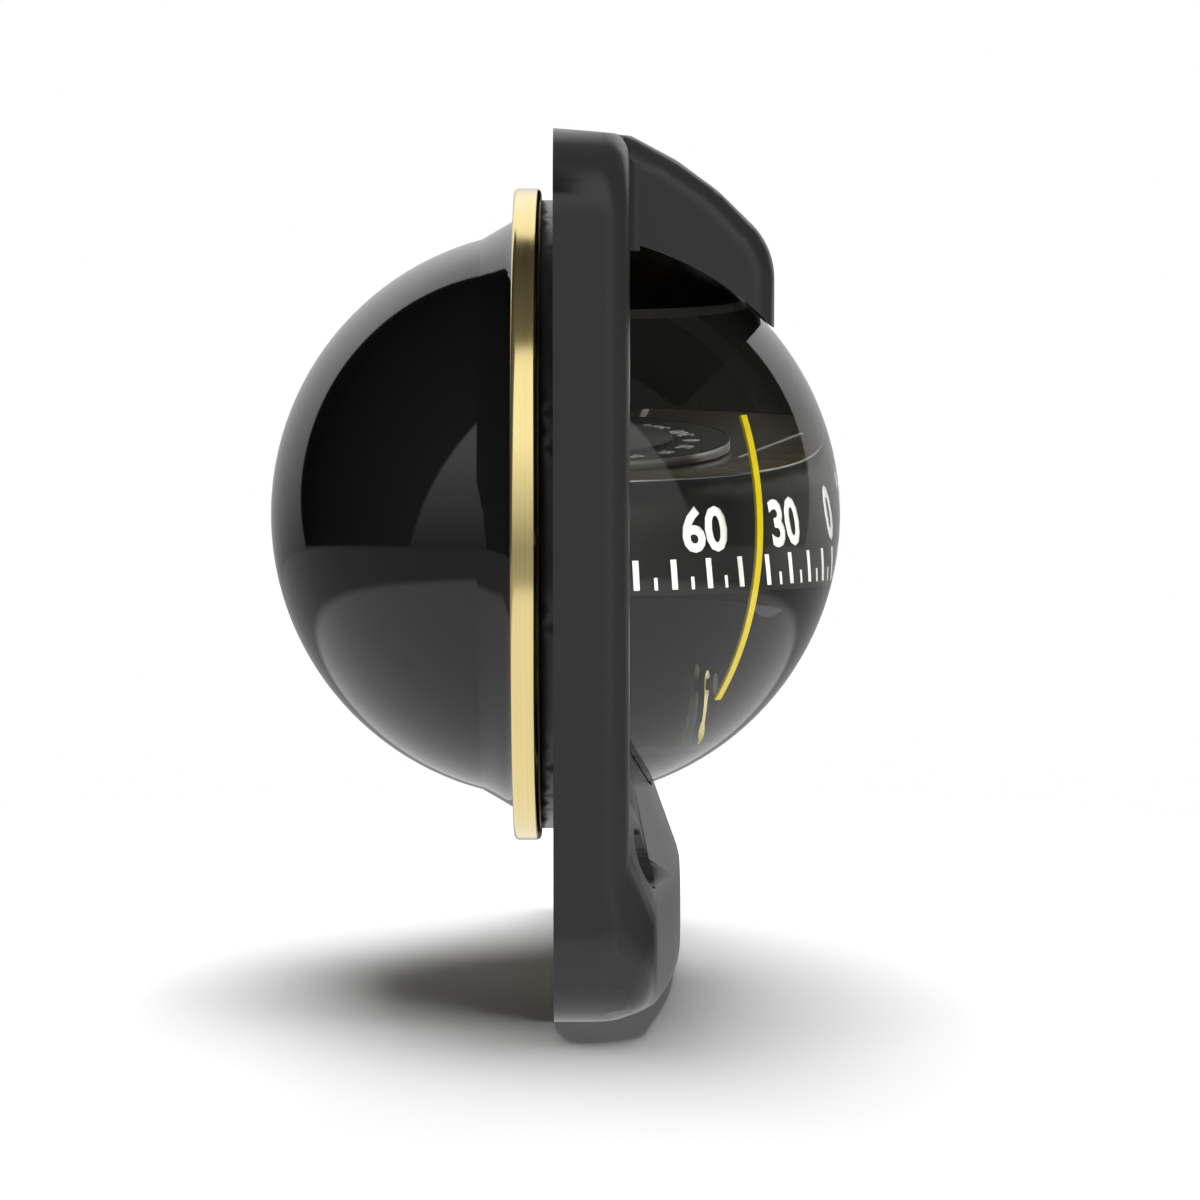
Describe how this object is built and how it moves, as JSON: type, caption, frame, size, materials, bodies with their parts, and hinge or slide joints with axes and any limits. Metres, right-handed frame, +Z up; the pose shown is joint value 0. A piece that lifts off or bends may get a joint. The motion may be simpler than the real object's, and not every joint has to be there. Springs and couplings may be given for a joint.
{
  "type": "bulkhead compass",
  "caption": "Fluid-filled spherical compass with a gimballed, skirted card and lubber lines, held by a clamp ring in a hooded bezel that screws to a bulkhead.",
  "frame": {"origin": "centre of the sphere, in the plane of the bezel's back face, which is also the centre of the four mounting holes", "axes": "+Z up, +Y into the bulkhead so that the dome faces -Y, +X to the right of someone who reads the compass"},
  "size_m": [0.108, 0.08, 0.118],
  "materials": {
    "moulding": "satin",
    "clear": "clear gloss",
    "bowl": "high gloss",
    "ring": "satin",
    "rubber": "matt",
    "inner_black": "matt",
    "diaphragm": "dull",
    "inner_metal": "satin",
    "steel": "brushed",
    "lubber": "gloss",
    "card": "matt",
    "jewel": "polished"
  },
  "bodies": {
    "housing": {"bezel": "moulding", "front_dome": "clear", "dome_seal": "rubber", "rear_bowl": "bowl", "clamp_ring": "ring", "diaphragm_frame": "inner_black", "expansion_diaphragm": "diaphragm", "diaphragm_ring": "steel", "filler_plug": "inner_black", "filler_seal": "rubber", "front_lubber": "lubber", "left_lubber": "lubber", "right_lubber": "lubber", "gimbal_fork": "inner_black", "clinometer_plate": "inner_black", "compensator_cover": "moulding"},
    "gimbal_ring_body": {"gimbal_ring": "inner_metal"},
    "cradle_body": {"cradle": "inner_metal", "counterweight": "steel", "pivot_post": "steel"},
    "card_body": {"card": "card", "card_cap": "card", "jewel_cup": "jewel", "card_magnets": "steel"},
    "pointer_body": {"clinometer_pointer": "lubber"},
    "adjuster_ns_body": {"adjuster_ns": "inner_metal", "adjuster_ns_magnet": "steel"},
    "adjuster_ew_body": {"adjuster_ew": "inner_metal", "adjuster_ew_magnet": "steel"}
  },
  "joints": [
    {"name": "gimbal_pitch", "type": "hinge", "parent": "housing", "child": "gimbal_ring_body", "pos_m": [0, 0, 0], "axis": [1, 0, 0], "range_deg": [-20, 20]},
    {"name": "gimbal_heel", "type": "hinge", "parent": "gimbal_ring_body", "child": "cradle_body", "pos_m": [0, 0, 0], "axis": [0, 1, 0], "range_deg": [-20, 20]},
    {"name": "card_turn", "type": "hinge", "parent": "cradle_body", "child": "card_body", "pos_m": [0, 0, 0], "axis": [0, 0, 1], "continuous": true},
    {"name": "clinometer_swing", "type": "hinge", "parent": "housing", "child": "pointer_body", "pos_m": [0, -0.0144, -0.017], "axis": [0, 1, 0], "range_deg": [-45, 45]},
    {"name": "adjuster_ns_turn", "type": "hinge", "parent": "housing", "child": "adjuster_ns_body", "pos_m": [-0.013, -0.008, -0.0567], "axis": [0, 0, 1], "continuous": true},
    {"name": "adjuster_ew_turn", "type": "hinge", "parent": "housing", "child": "adjuster_ew_body", "pos_m": [0.013, -0.008, -0.0567], "axis": [0, 0, 1], "continuous": true}
  ]
}
